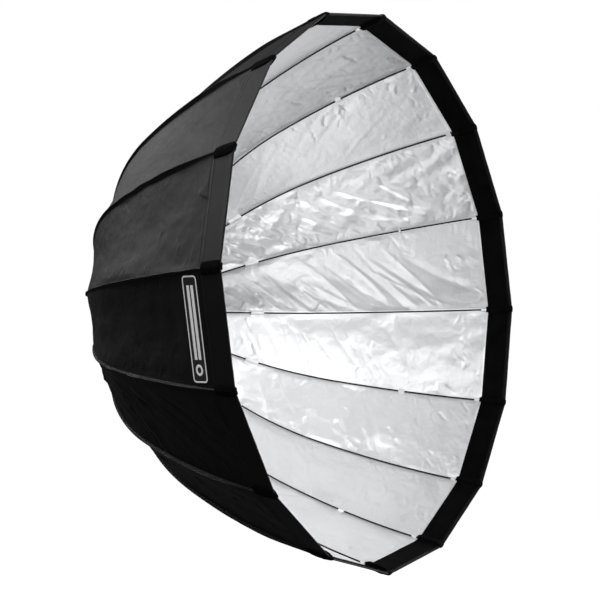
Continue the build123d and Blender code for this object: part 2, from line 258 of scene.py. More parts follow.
class Nodes:
    """A new material, with short names for adding nodes to it."""

    def __init__(self, *settings, **inputs):
        self.material = new_material(*settings, **inputs)
        self.tree = self.material.node_tree
        self.shader = self.tree.nodes["Principled BSDF"]
        self.position = self.add("ShaderNodeTexCoord").outputs["Object"]

    def add(self, kind, **settings):
        node = self.tree.nodes.new(kind)
        for key, value in settings.items():
            setattr(node, key, value)
        return node

    def link(self, output, socket):
        self.tree.links.new(output, socket)

    def noise(self, scale, detail, roughness):
        node = self.add("ShaderNodeTexNoise")
        node.inputs["Scale"].default_value = scale
        node.inputs["Detail"].default_value = detail
        node.inputs["Roughness"].default_value = roughness
        self.link(self.position, node.inputs["Vector"])
        return node.outputs["Fac"]

    def ramp(self, value, low, high, low_at, high_at):
        """Maps a value to a colour between low and high."""
        node = self.add("ShaderNodeValToRGB")
        elements = node.color_ramp.elements
        elements[0].position, elements[1].position = low_at, high_at
        elements[0].color, elements[1].color = (*low, 1), (*high, 1)
        self.link(value, node.inputs["Fac"])
        return node.outputs["Color"]

    def remap(self, value, low, high):
        """Maps a value from 0 to 1 to one between low and high."""
        node = self.add("ShaderNodeMapRange")
        node.inputs["To Min"].default_value = low
        node.inputs["To Max"].default_value = high
        self.link(value, node.inputs["Value"])
        return node.outputs["Result"]

    def math(self, operation, a, b):
        node = self.add("ShaderNodeMath", operation=operation)
        for socket, value in zip(node.inputs, (a, b)):
            if isinstance(value, (int, float)):
                socket.default_value = value
            else:
                self.link(value, socket)
        return node.outputs["Value"]

    def mix(self, first, second, share):
        """The first value by its share, and the second by the rest."""
        return self.math("ADD", self.math("MULTIPLY", first, share), self.math("MULTIPLY", second, 1 - share))

    def weave(self, threads_per_metre):
        """A plain weave: warp and weft ribs crossed over one another."""
        split = self.add("ShaderNodeSeparateXYZ")
        self.link(self.position, split.inputs["Vector"])
        waves = []
        for axis in "XYZ":
            angle = self.math("MULTIPLY", split.outputs[axis], threads_per_metre * 2 * pi)
            waves.append(self.math("SINE", angle, 0.0))
        first = self.math("MULTIPLY", waves[0], waves[1])
        second = self.math("MULTIPLY", waves[2], waves[1])
        return self.math("ADD", first, second)

    def bump(self, height, strength, distance, normal=None):
        node = self.add("ShaderNodeBump")
        node.inputs["Strength"].default_value = strength
        node.inputs["Distance"].default_value = distance
        self.link(height, node.inputs["Height"])
        if normal is not None:
            self.link(normal, node.inputs["Normal"])
        return node.outputs["Normal"]

    def finish(self, colour, roughness, normal):
        """Links what varies over the surface, and gives the material."""
        for key, output in (("Base Color", colour), ("Roughness", roughness), ("Normal", normal)):
            if output is not None:
                self.link(output, self.shader.inputs[key])
        return self.material


def black_fabric():
    """Coated black polyester, matt and slightly uneven."""
    n = Nodes("black_fabric", (0.005, 0.005, 0.0052), 0.56, Specular_IOR_Level=0.13)
    cloud = n.noise(9.0, 4.0, 0.55)
    streak = n.noise(70.0, 3.0, 0.6)
    colour = n.ramp(n.mix(cloud, streak, 0.7), (0.0018, 0.0018, 0.0019), (0.0038, 0.0038, 0.0040), 0.3, 0.7)
    rough = n.remap(cloud, 0.52, 0.62)
    creases = n.bump(n.noise(38.0, 5.0, 0.6), 0.12, 0.004)
    return n.finish(colour, rough, n.bump(n.weave(1400), 0.12, 0.0002, creases))


def silver_fabric(name, shade):
    """The silver coating: satin metal on woven cloth, finely crinkled, its colour scaled by a painted shade.
    """
    n = Nodes(f"silver_fabric_{name}", (0.9, 0.905, 0.91), 0.45, 0.70)
    cloud = n.noise(11.0, 4.0, 0.6)
    mottle = n.noise(120.0, 3.0, 0.6)
    low, high = ([part * shade for part in grey] for grey in ((0.88, 0.885, 0.895), (0.95, 0.953, 0.96)))
    colour = n.ramp(n.mix(cloud, mottle, 0.6), low, high, 0.3, 0.7)
    rough = n.remap(mottle, 0.39, 0.50)
    creases = n.bump(n.noise(70.0, 7.0, 0.64), 0.34, 0.004)
    return n.finish(colour, rough, n.bump(n.weave(1100), 0.10, 0.0002, creases))


def loop_band():
    """Hook-and-loop tape: black pile that takes no light."""
    n = Nodes("loop_band", (0.003, 0.003, 0.003), 0.95, Specular_IOR_Level=0.03)
    pile = n.noise(900.0, 4.0, 0.7)
    wear = n.noise(26.0, 4.0, 0.6)
    colour = n.ramp(n.mix(pile, wear, 0.5), (0.0012, 0.0012, 0.0012), (0.0048, 0.0048, 0.0050), 0.35, 0.7)
    return n.finish(colour, None, n.bump(pile, 0.8, 0.0012))


def tape():
    """Woven binding tape with ribs across it."""
    n = Nodes("binding_tape", (0.010, 0.010, 0.0105), 0.6, Specular_IOR_Level=0.2)
    thread = n.noise(500.0, 2.0, 0.5)
    wear = n.noise(18.0, 4.0, 0.6)
    colour = n.ramp(n.mix(thread, wear, 0.4), (0.006, 0.006, 0.0063), (0.015, 0.015, 0.0158), 0.3, 0.7)
    return n.finish(colour, n.remap(wear, 0.5, 0.7), n.bump(n.weave(900), 0.5, 0.0003))


def thread():
    """Black sewing thread, twisted."""
    n = Nodes("black_thread", (0.006, 0.006, 0.0063), 0.7, Specular_IOR_Level=0.1)
    twist = n.noise(1400.0, 2.0, 0.5)
    colour = n.ramp(twist, (0.004, 0.004, 0.0043), (0.009, 0.009, 0.0095), 0.3, 0.7)
    return n.finish(colour, None, n.bump(twist, 0.5, 0.0003))


def print_white():
    """The label's light weave."""
    n = Nodes("label_white", (0.75, 0.75, 0.74), 0.7, Sheen_Weight=0.1)
    yarn = n.noise(700.0, 2.0, 0.5)
    colour = n.ramp(yarn, (0.88, 0.88, 0.87), (0.98, 0.98, 0.97), 0.3, 0.7)
    return n.finish(colour, None, n.bump(n.weave(1500), 0.4, 0.0002))


def anodised():
    """Bead-blasted aluminium, anodised black."""
    n = Nodes("black_anodised", (0.022, 0.022, 0.024), 0.38, 0.7)
    blast = n.noise(1600.0, 2.0, 0.6)
    wear = n.noise(35.0, 5.0, 0.65)
    colour = n.ramp(wear, (0.018, 0.018, 0.020), (0.034, 0.034, 0.037), 0.35, 0.75)
    return n.finish(colour, n.remap(wear, 0.32, 0.46), n.bump(blast, 0.18, 0.0002))


def moulded():
    """Black nylon with a fine spark-eroded grain."""
    n = Nodes("moulded_nylon", (0.018, 0.018, 0.019), 0.5, Specular_IOR_Level=0.45)
    grain = n.noise(1100.0, 3.0, 0.6)
    cloud = n.noise(28.0, 4.0, 0.6)
    colour = n.ramp(cloud, (0.013, 0.013, 0.014), (0.026, 0.026, 0.028), 0.3, 0.7)
    return n.finish(colour, n.remap(cloud, 0.42, 0.58), n.bump(grain, 0.35, 0.00025))


def turned_aluminium():
    """Aluminium faced on a lathe: fine rings round the light axis."""
    n = Nodes("turned_aluminium", (0.72, 0.725, 0.735), 0.26, 1.0)
    split = n.add("ShaderNodeSeparateXYZ")
    n.link(n.position, split.inputs["Vector"])
    x, z = split.outputs["X"], split.outputs["Z"]
    radius = n.math("SQRT", n.math("ADD", n.math("MULTIPLY", x, x), n.math("MULTIPLY", z, z)), 0.0)
    rings = n.math("SINE", n.math("MULTIPLY", radius, 9000.0), 0.0)
    smear = n.noise(60.0, 4.0, 0.6)
    colour = n.ramp(smear, (0.62, 0.625, 0.635), (0.80, 0.80, 0.81), 0.3, 0.7)
    turning = n.bump(n.math("MULTIPLY", rings, smear), 0.15, 0.0001)
    return n.finish(colour, n.remap(smear, 0.20, 0.36), turning)


def plated_steel():
    """Zinc-plated steel with a slightly uneven passivation."""
    n = Nodes("plated_steel", (0.62, 0.62, 0.61), 0.3, 1.0)
    cloud = n.noise(140.0, 4.0, 0.6)
    scratch = n.noise(900.0, 2.0, 0.5)
    colour = n.ramp(cloud, (0.52, 0.52, 0.50), (0.72, 0.72, 0.70), 0.3, 0.7)
    return n.finish(colour, n.remap(cloud, 0.24, 0.40), n.bump(scratch, 0.12, 0.0001))


def rod_coating():
    """Black coated spring steel, rubbed slightly along its length."""
    n = Nodes("rod_coating", (0.006, 0.006, 0.0063), 0.5, Specular_IOR_Level=0.15)
    rub = n.noise(90.0, 5.0, 0.65)
    peel = n.noise(700.0, 2.0, 0.5)
    colour = n.ramp(rub, (0.004, 0.004, 0.0043), (0.012, 0.012, 0.0126), 0.4, 0.8)
    return n.finish(colour, n.remap(rub, 0.42, 0.58), n.bump(peel, 0.15, 0.0001))


BLACK, LOOP, TAPE = black_fabric(), loop_band(), tape()
# four painted shades of the one silver cloth: each scales the colour to stand in for the light or shade
# falling on a gore
SILVER_PAINTED_SHADES = (("plain", 0.94), ("painted_shaded", 0.82), ("painted_lit", 1.04), ("grey", 0.67))
SILVERS = [silver_fabric(name, shade) for name, shade in SILVER_PAINTED_SHADES]
SILVER = SILVERS[0]
THREAD, PRINT = thread(), print_white()
ANODISED, MOULDED, TURNED = anodised(), moulded(), turned_aluminium()
PLATED, COATED = plated_steel(), rod_coating()
NODE_MATERIALS = (
    ("hub_body", ANODISED), ("front_cover", MOULDED), ("retaining_ring", MOULDED), ("runner_ring", MOULDED),
    ("knuckle", MOULDED), ("lock_knob", MOULDED), ("bayonet_insert", TURNED), ("rod_", COATED),
    ("cover_screws", PLATED), ("retaining_screws", PLATED), ("hinge_pins", PLATED),
    ("runner_stop_ring", PLATED), ("detent_plungers", PLATED), ("lock_stud", PLATED),
)


# ---- where the label is, on its gore ----
LABEL_GORE = 11
LABEL_HALF_LENGTH, LABEL_HALF_WIDTH = 0.1035, 0.0235
LABEL_CORNER = 0.007
LABEL_MIDDLE = FABRIC.length - 0.0975
LABEL_LIFT = 0.0011


# ---- canopy ----
GORE_COLUMNS = 80
GORE_ROWS = 320


def gore_width(down):
    """The straight distance between two ribs' seams."""
    return 2 * FABRIC.at(down)[0] * sin(HALF_GORE)


def ease(t):
    t = np.clip(t, 0, 1)
    return t * t * (3 - 2 * t)


def crease(a, s, start, angle, length, width, bend=0.0, sharp=2.0):
    """The height of one soft crease of unit depth, from start (across, down) at angle to the rib."""
    t = (a - start[0]) * sin(angle) + (s - start[1]) * cos(angle)
    d = (a - start[0]) * cos(angle) - (s - start[1]) * sin(angle) - bend * t * t
    share = t / length
    window = ease(share / 0.22) * ease((1 - share) / 0.5)
    return np.exp(-np.abs(d / (width * (0.6 + 0.8 * np.clip(share, 0, 1)))) ** sharp) * window


# how strongly each gore is drawn into long diagonal folds, which way they lean, and how crumpled it is
DRAG = (0.45, 0.35, 1.1, 1.4, 0.7, 0.6, 0.5, 0.5, 0.5, 0.35, 0.9, 0.2, 0.12, 0.10, 0.12, 0.4)
LEAN = (1, -1, 1, 1, 1, 1, 1, -1, 1, -1, -1, -1, -1, 1, -1, 1)
PAINTED_SHADE_OF_GORE = (1, 2, 0, 3, 0, 2, 2, 2, 0, 0, 0, 0, 0, 0, 0, 0)  # which painted shade of the silver cloth each gore's inside has: the cloth is one shade, and the tones are painted light and shade
CRUMPLE = (1.0, 0.5, 1.7, 0.6, 0.6, 1.4, 1.3, 1.2, 0.9, 0.6, 0.5, 0.3, 0.1, 0.1, 0.1, 0.6)
FOLD_ANGLE = (40, 40, 40, 42, 60, 62, 55, 50, 50, 40, 32, 40, 40, 40, 40, 40)  # degrees, from the ribs


def drawn_folds(gore, a, s, rng):
    """Long diagonal folds, each with a sharp crest, in loose bundles down the gore."""
    length, lean, drag = FABRIC.length, LEAN[gore], DRAG[gore]
    height = 0
    folds = round(26 * drag)
    for fold in range(folds):
        down = (0.06 + 0.64 * (fold + rng.uniform(-0.45, 0.45)) / folds) * length
        half = float(gore_width(down)[0]) / 2
        angle = lean * radians(rng.uniform(0.8, 1.2) * FOLD_ANGLE[gore])
        reach = rng.uniform(1.2, 2.1) * half / abs(sin(angle)) + 0.03
        start = (-lean * half * rng.uniform(-0.1, 0.95), down)
        thin = rng.uniform(0.0035, 0.0105)
        depth = rng.uniform(0.5, 1.2) * thin * 0.40 * min(drag, 1.1) * rng.choice((1, 1, -0.8))
        bend, sharp = rng.uniform(-0.9, 0.9), rng.uniform(1.2, 1.9)
        height += depth * crease(a, s, start, angle, reach, thin, bend, sharp)
    return height


def crumples(gore, a, s, rng):
    """Short wavy creases that cross the gore steeply, most of them towards the rim."""
    height = 0
    for _ in range(round(58 * CRUMPLE[gore])):
        down = (1 - 0.85 * rng.random() ** 2.2) * (FABRIC.length - BAND_WIDTH)
        half = float(gore_width(down)[0]) / 2
        angle = LEAN[gore] * radians(rng.uniform(45, 85))
        start = (half * rng.uniform(-0.95, 0.8), down)
        wave = 0.0016 * np.sin(a * rng.uniform(180, 420) + rng.uniform(0, 6))
        thin = rng.uniform(0.0024, 0.0055)
        height += rng.uniform(-0.55, 0.65) * thin * crease(
            a, s + wave, start, angle, rng.uniform(0.02, 0.06), thin, rng.uniform(-6, 6), 1.6)
    return height


def seam_puckers(a, s, rng):
    """Small gathers that run into the gore from its two seams."""
    height = 0
    for _ in range(110):
        side = rng.choice((-1, 1))
        down = rng.uniform(0.04, 0.97) * FABRIC.length
        half = float(gore_width(down)[0]) / 2
        start = (side * (half - rng.uniform(0.001, 0.010)), down)
        angle = -side * radians(rng.uniform(40, 120))
        height += rng.uniform(-0.0011, 0.0013) * crease(
            a, s, start, angle, rng.uniform(0.014, 0.050), rng.uniform(0.0018, 0.0036), rng.uniform(-5, 5))
    return height


def wrinkles(gore, u, s, width):
    """How far the fabric stands behind its flat gore, over the whole gore."""
    rng = np.random.default_rng(100 + gore)
    length = FABRIC.length
    a = (u - 0.5) * width
    edge = np.minimum(u, 1 - u) * width
    gathered = 0.3 + 0.7 * min(CRUMPLE[gore], 1.0)
    pinned, near_seam = ease(edge / 0.016), ease(edge / 0.004)
    height = -0.004 * np.sin(pi * u) ** 2 * ease(s / 0.1) * ease((length - s) / 0.25)
    height += layered_noise(a * 12 + 40 * gore, s * 8, 7 + gore) * (0.0010 + 0.0020 * CRUMPLE[gore]) * pinned
    height += layered_noise(a * 30 + 9 * gore, s * 24, 57 + gore) * 0.0007 * (0.3 + CRUMPLE[gore]) * pinned
    height += pinned * (drawn_folds(gore, a, s, rng) + crumples(gore, a, s, rng))
    height += near_seam * gathered * seam_puckers(a, s, rng)
    height += layered_noise(a * 90, s * 80, 31 + gore) * 0.00020 * gathered * pinned
    if gore == LABEL_GORE:
        height *= ease((np.abs(s - LABEL_MIDDLE) - LABEL_HALF_WIDTH) / 0.05)
    band = length - BAND_WIDTH
    ridge = 0.0010 * np.exp(-(((s - band + 0.0035) / 0.0022) ** 2)) * ease(edge / 0.012)
    return height * ease((band + 0.006 - s) / 0.022) - ridge


def gore_surface(gore):
    """Middle points and normals of one gore, as grids of rows down the rib by columns across."""
    s = np.linspace(0, FABRIC.length, GORE_ROWS + 1)
    u = np.linspace(0, 1, GORE_COLUMNS + 1)
    r, y, slope = FABRIC.at(s)
    left, right = outward(rib_angle(gore)), outward(rib_angle(gore + 1))
    middle = outward(rib_angle(gore + 0.5))
    points = (r[:, None, None] * (left * (1 - u)[None, :, None] + right * u[None, :, None])
              + y[:, None, None] * FORWARD)
    flat_slope = np.arctan(np.tan(slope) * cos(HALF_GORE))
    normal = middle * np.cos(flat_slope)[:, None, None] + FORWARD * np.sin(flat_slope)[:, None, None]
    grid_u, grid_s = np.meshgrid(u, s)
    height = wrinkles(gore, grid_u, grid_s, gore_width(s)[:, None])
    points = points + normal * height[:, :, None]
    normals = np.cross(np.gradient(points, axis=1), np.gradient(points, axis=0))
    normals /= np.linalg.norm(normals, axis=2)[:, :, None]
    if normals[0, 0] @ normal[0, 0] < 0:
        normals = -normals
    return points, normals


GORES = [gore_surface(gore) for gore in range(RIBS)]


# the rows where the canopy's folding bands meet; the last band is the one behind the rim band
HEM_ROW = round(GORE_ROWS * (1 - BAND_WIDTH / FABRIC.length))
BAND_ROWS = [round(row) for row in np.linspace(0, HEM_ROW, FOLD_BANDS)] + [GORE_ROWS]


def canopy_at(gore, u, down):
    """The fabric's middle points and normals at shares u across a gore and distances down it."""
    points, normals = GORES[gore % RIBS]
    u, down = np.broadcast_arrays(u, down)
    i, j = np.clip(down / FABRIC.length, 0, 1) * GORE_ROWS, np.clip(u, 0, 1) * GORE_COLUMNS
    i0, j0 = np.minimum(i.astype(int), GORE_ROWS - 1), np.minimum(j.astype(int), GORE_COLUMNS - 1)
    fi, fj = (i - i0)[..., None], (j - j0)[..., None]

    def mix(grid):
        near = grid[i0, j0] * (1 - fj) + grid[i0, j0 + 1] * fj
        far = grid[i0 + 1, j0] * (1 - fj) + grid[i0 + 1, j0 + 1] * fj
        return near * (1 - fi) + far * fi

    past_rim = np.maximum(down - FABRIC.length, 0)[..., None]
    onward = outward(rib_angle(gore + 0.5)) * sin(RIM_SLOPE) - FORWARD * cos(RIM_SLOPE)
    return mix(points) + past_rim * onward, mix(normals)


def on_rib(rib, across, down, lift):
    """Points beside a rib: across it towards the next rib, down it, and lifted off the fabric's middle."""
    across, down, lift = np.broadcast_arrays(across, down, lift)
    share = np.abs(across) / gore_width(down)
    right, left = canopy_at(rib, share, down), canopy_at(rib - 1, 1 - share, down)
    side = (across >= 0)[..., None]
    point, normal = np.where(side, right[0], left[0]), np.where(side, right[1], left[1])
    slope = FABRIC.at(down)[2][..., None]
    ridge = outward(rib_angle(rib)) * np.cos(slope) + FORWARD * np.sin(slope)
    near = np.exp(-((across / SEAM_ROUNDING) ** 2))[..., None]
    normal = normal * (1 - near) + ridge * near
    normal /= np.linalg.norm(normal, axis=-1)[..., None]
    return point + normal * lift[..., None]


def rod_gap(down):
    """How far the rod's centre stands in front of the fabric's middle."""
    r, y, slope = FABRIC.at(down)
    on_tight = ROD.straight + ROD.tight * (ROOT_SLOPE - slope)
    on_flat = ROD.straight + ROD.tight_length + ROD.flat * (MIDDLE_SLOPE - slope)
    rod_s = np.where(slope >= ROOT_SLOPE, down, np.where(slope > MIDDLE_SLOPE, on_tight, on_flat))
    rod_r, rod_y, _ = ROD.at(rod_s)
    return (r - rod_r) * np.cos(slope) + (y - rod_y) * np.sin(slope)


def down_at(y):
    """The distance down the rib at which the fabric reaches y."""
    s = np.linspace(0, FABRIC.length, 400)
    return float(np.interp(-y, -FABRIC.at(s)[1], s))


def close_mesh(name, points, faces, material):
    """A closed mesh with its faces turned outwards and its edges kept crisp."""
    mesh = mesh_from(name, points, faces, [material])
    closed = bmesh.new()
    closed.from_mesh(mesh)
    bmesh.ops.recalc_face_normals(closed, faces=closed.faces)
    closed.to_mesh(mesh)
    closed.free()
    mesh.set_sharp_from_angle(angle=CRISP)
    return link(name, mesh)


def close_slab(name, bottom, top, material):
    """A closed pad between two grids of points."""
    rows, columns = top.shape[:2]
    count = rows * columns
    index = np.arange(count).reshape(rows, columns)
    ring = np.concatenate([index[0], index[1:, -1], index[-1, -2::-1], index[-2:0:-1, 0]])
    after = np.roll(ring, -1)
    border = np.stack([ring, after, after + count, ring + count], axis=1)
    faces = np.concatenate([grid_faces(rows, columns), grid_faces(rows, columns, count, True), border])
    return close_mesh(name, np.concatenate([top.reshape(-1, 3), bottom.reshape(-1, 3)]), faces, material)


def make_slab(name, rib, across, down, low, high, material):
    """A closed pad between two lifts, over a grid of rows down the rib and columns across it."""
    return close_slab(name, on_rib(rib, across, down, low), on_rib(rib, across, down, high), material)


def make_loops(name, rib, across, down, lift, material):
    """A closed tube through rows of loops on the canopy."""
    points = on_rib(rib, across, down, lift)
    rows, sides = points.shape[:2]
    index = np.arange(rows * sides).reshape(rows, sides)
    turned = np.roll(index, -1, axis=1)
    quads = np.stack([index[:-1], turned[:-1], turned[1:], index[1:]], axis=-1).reshape(-1, 4)
    faces = quads.tolist() + [index[0].tolist(), index[-1].tolist()]
    return close_mesh(name, points.reshape(-1, 3), faces, material)


def make_strap(name, rib, path, half_width, half_thickness, material):
    """A rounded strap along a path of (down, lift) points."""
    tangent = np.gradient(path, axis=0)
    tangent /= np.linalg.norm(tangent, axis=1)[:, None]
    turn = np.linspace(0, 2 * pi, 16, endpoint=False)
    c, s = np.cos(turn), np.sin(turn)
    wide = np.sign(c) * np.abs(c) ** 0.7 * half_width[:, None]
    thick = np.sign(s) * np.abs(s) ** 0.8 * half_thickness[:, None]
    down = path[:, :1] - tangent[:, 1:] * thick
    lift = path[:, 1:] + tangent[:, :1] * thick
    return make_loops(name, rib, wide, down, lift, material)


STITCH_WIDTH, STITCH_HEIGHT = 0.0006, 0.0004


def make_stitches(name, rib, starts, ends, lift, material):
    """A line of stitches, each a low bar between two (across, down) points."""
    run = ends - starts
    run /= np.linalg.norm(run, axis=1)[:, None]
    beside = np.stack([-run[:, 1], run[:, 0]], axis=1) * STITCH_WIDTH / 2
    inset = run * STITCH_WIDTH * 0.6
    corners = []
    for rise, narrow, back in ((0.0, 1.0, 0.0), (STITCH_HEIGHT, 0.5, 1.0)):
        for end, way in ((starts, 1), (ends, -1)):
            for side in (1, -1):
                place = end + inset * back * way + beside * narrow * side
                corners.append(on_rib(rib, place[:, 0], place[:, 1], lift + rise))
    return make_bars(name, corners, material)


def make_bars(name, corners, material):
    """Closed bars, each from its eight corners."""
    points = np.stack(corners, axis=1)
    first = np.arange(len(points))[:, None] * 8
    sides = np.array([(4, 5, 7, 6), (0, 4, 6, 2), (1, 3, 7, 5), (0, 1, 5, 4), (2, 6, 7, 3), (0, 2, 3, 1)])
    faces = (first[:, :, None] + sides[None]).reshape(-1, 4)
    return close_mesh(name, points.reshape(-1, 3), faces, material)


def stitch_line(start, end):
    """The ends of the stitches between two (across, down) points."""
    start, end = np.asarray(start, float), np.asarray(end, float)
    count = max(int(np.linalg.norm(end - start) / STITCH_PITCH), 1)
    t = np.arange(count)[:, None] / count
    return start + (end - start) * (t + 0.12 / count), start + (end - start) * (t + 0.86 / count)


def mount(piece, rib, node=None):
    """Makes a soft piece move with its rib, and hides the CAD node it stands in for."""
    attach(piece, f"rib_{rib_name(rib)}")
    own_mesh(piece)
    if node:
        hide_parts(f"{node}_{rib_name(rib)}")
    return piece


def make_canopy_band(rib, band):
    """Both skins of the fabric on both sides of one rib, over one band."""
    rows = slice(BAND_ROWS[band], BAND_ROWS[band + 1] + 1)
    middle = GORE_COLUMNS // 2
    points, normals, faces, slots = [], [], [], []
    count = 0
    for gore, columns in ((rib - 1, slice(middle, None)), (rib, slice(0, middle + 1))):
        centre, normal = (grid[rows, columns] for grid in GORES[gore % RIBS])
        for side in (1, -1):
            points.append((centre + normal * side * FABRIC_THICKNESS / 2).reshape(-1, 3))
            normals.append((normal * side).reshape(-1, 3))
            faces.append(grid_faces(*centre.shape[:2], count, side > 0))
            # the inner skin takes its gore's painted shade of silver, standing in for the light that falls on
            # that gore
            slots += [0 if side > 0 else 1 + PAINTED_SHADE_OF_GORE[gore % RIBS]] * len(faces[-1])
            count += centre.shape[0] * centre.shape[1]
    name = f"canopy_{rib_name(rib)}_band_{band + 1:02d}"
    piece = link(name, mesh_from(name, np.concatenate(points), np.concatenate(faces), [BLACK, *SILVERS],
                                 slots, np.concatenate(normals)))
    mount(piece, rib, "canopy_panel")


def fractions(count):
    """Shares across both half gores of a rib, closer together near the rib."""
    t = np.linspace(-1, 1, count)
    return np.sign(t) * np.abs(t) ** 1.3


def make_rim_band(rib):
    """The hook-and-loop band inside the rim, going over the rod's end."""
    down = np.linspace(FABRIC.length - BAND_WIDTH, FABRIC.length - HEM_WIDTH, 9)[:, None]
    across = fractions(61)[None] * gore_width(down) / 2
    over_rod = (rod_gap(down) + ROD_RADIUS + 0.0010) * np.exp(-((np.abs(across) / 0.0085) ** 2.6))
    under = FABRIC_THICKNESS / 2 + over_rod * ease((down[-1] - down) / 0.012)
    edge = np.minimum(down - down[0], down[-1] - down)
    rounded = np.sqrt(np.clip(edge / 0.0008, 0.15, 1))
    pile = 0.00012 * value_noise(across * 900 + 50 * rib, down * 900 + 0 * across, 5)
    piece = make_slab(f"rim_band_{rib_name(rib)}", rib, across, down, -under,
                      -under - BAND_THICKNESS * rounded - pile, LOOP)
    mount(piece, rib)


def make_hem(rib):
    """The outer fabric folded over the rim's edge and in under the band."""
    across = fractions(61) * float(gore_width(FABRIC.length)[0]) / 2
    loop = np.array([
        (-0.0120, 0.0005), (-0.0115, 0.0011), (-0.0040, 0.0013), (-0.0010, 0.0016), (0.0008, 0.0012),
        (0.0015, 0.0000), (0.0010, -0.0013), (-0.0008, -0.0017), (-0.0045, -0.0015), (-0.0068, -0.0013),
        (-0.0070, -0.0005), (-0.0030, -0.0004), (-0.0030, 0.0004),
    ])
    sway = 0.0002 * value_noise(across * 60 + 30 * rib, across * 0, 17)[:, None]
    down = FABRIC.length + loop[None, :, 0] + sway
    piece = make_loops(f"rim_hem_{rib_name(rib)}", rib, across[:, None], down, loop[None, :, 1], BLACK)
    mount(piece, rib)


def seam_lean(rib, down):
    """How far the standing seam's free edge leans to one side."""
    broad = 0.0012 * value_noise(down * 26 + 20 * rib, down * 0, 23)
    return broad + 0.0003 * value_noise(down * 90, down * 0, 29)


def seam_rise(down):
    """The height of the standing seam: it starts low at the hub and ends low at the tip's pocket."""
    share = (down - 0.004) / (FABRIC.length - POCKET_LENGTH)
    at_hub, at_tip = 0.16 + 0.84 * ease(share / 0.85), 0.42 + 0.58 * ease((1 - share) / 0.16)
    return SEAM_HEIGHT * at_hub * at_tip + 0.0006


def make_seam_tape(rib):
    """The bound seam that stands along the rib outside, and the row of stitches on each of its sides."""
    down = np.linspace(0.004, FABRIC.length - POCKET_LENGTH + 0.004, 170)[:, None]
    tall = seam_rise(down)
    profile = np.array([(-0.0024, 0.0), (-0.0011, 0.10), (-0.0009, 0.55), (-0.0011, 0.88), (-0.0007, 0.98),
                        (0.0, 1.0), (0.0007, 0.98), (0.0011, 0.88), (0.0009, 0.55), (0.0011, 0.10),
                        (0.0024, 0.0)])
    across = profile[None, :, 0] + seam_lean(rib, down) * profile[None, :, 1] ** 1.5
    lift = 0.0002 + profile[None, :, 1] * tall
    mount(make_loops(f"seam_tape_{rib_name(rib)}", rib, across, down, lift, TAPE), rib)
    starts = np.arange(0.10, FABRIC.length * 0.80, STITCH_PITCH)
    for side in (-1, 1):
        corners = []
        for rise, narrow in ((0.0004, 1.0), (0.00105, 0.6)):
            for place in (starts, starts + STITCH_PITCH * 0.74):
                for edge in (-0.0002, 0.0002):
                    leant = seam_lean(rib, place) * 0.42
                    height = seam_rise(place) * 0.56 + edge * narrow
                    corners.append(on_rib(rib, leant + side * rise, place, height))
        mount(make_bars(f"seam_stitches_{'left' if side < 0 else 'right'}_{rib_name(rib)}", corners, THREAD),
              rib)


def make_inner_seam(rib):
    """The silver seam strip behind the rod."""
    down = np.linspace(0.004, FABRIC.length - BAND_WIDTH + 0.003, 120)[:, None]
    across = np.array([-0.0042, -0.0040, -0.0015, 0.0015, 0.0040, 0.0042])[None]
    rise = np.array([0.0004, 0.0009, 0.0012, 0.0012, 0.0009, 0.0004])[None]
    wave = 0.00015 * value_noise(down * 150 + 20 * rib, across * 400 + down * 0, 37)
    mount(make_slab(f"inner_seam_{rib_name(rib)}", rib, across, down, -0.0002, -rise - wave,
                    SILVER), rib)


def make_hem_stitches(rib):
    """The stitch rows round the rim, outside, that hold the band and the hem."""
    half = float(gore_width(FABRIC.length)[0]) / 2
    starts, ends = [], []
    for up in (0.0085, BAND_WIDTH - 0.003):
        down = FABRIC.length - up
        reach = half * float(gore_width(down)[0] / gore_width(FABRIC.length)[0])
        for side in (-1, 1):
            a, b = stitch_line((side * (POCKET_WIDTH / 2 + 0.001), down), (side * reach, down))
            starts.append(a)
            ends.append(b)
    mount(make_stitches(f"rim_stitches_{rib_name(rib)}", rib, np.concatenate(starts), np.concatenate(ends),
                        0.0004, THREAD), rib)


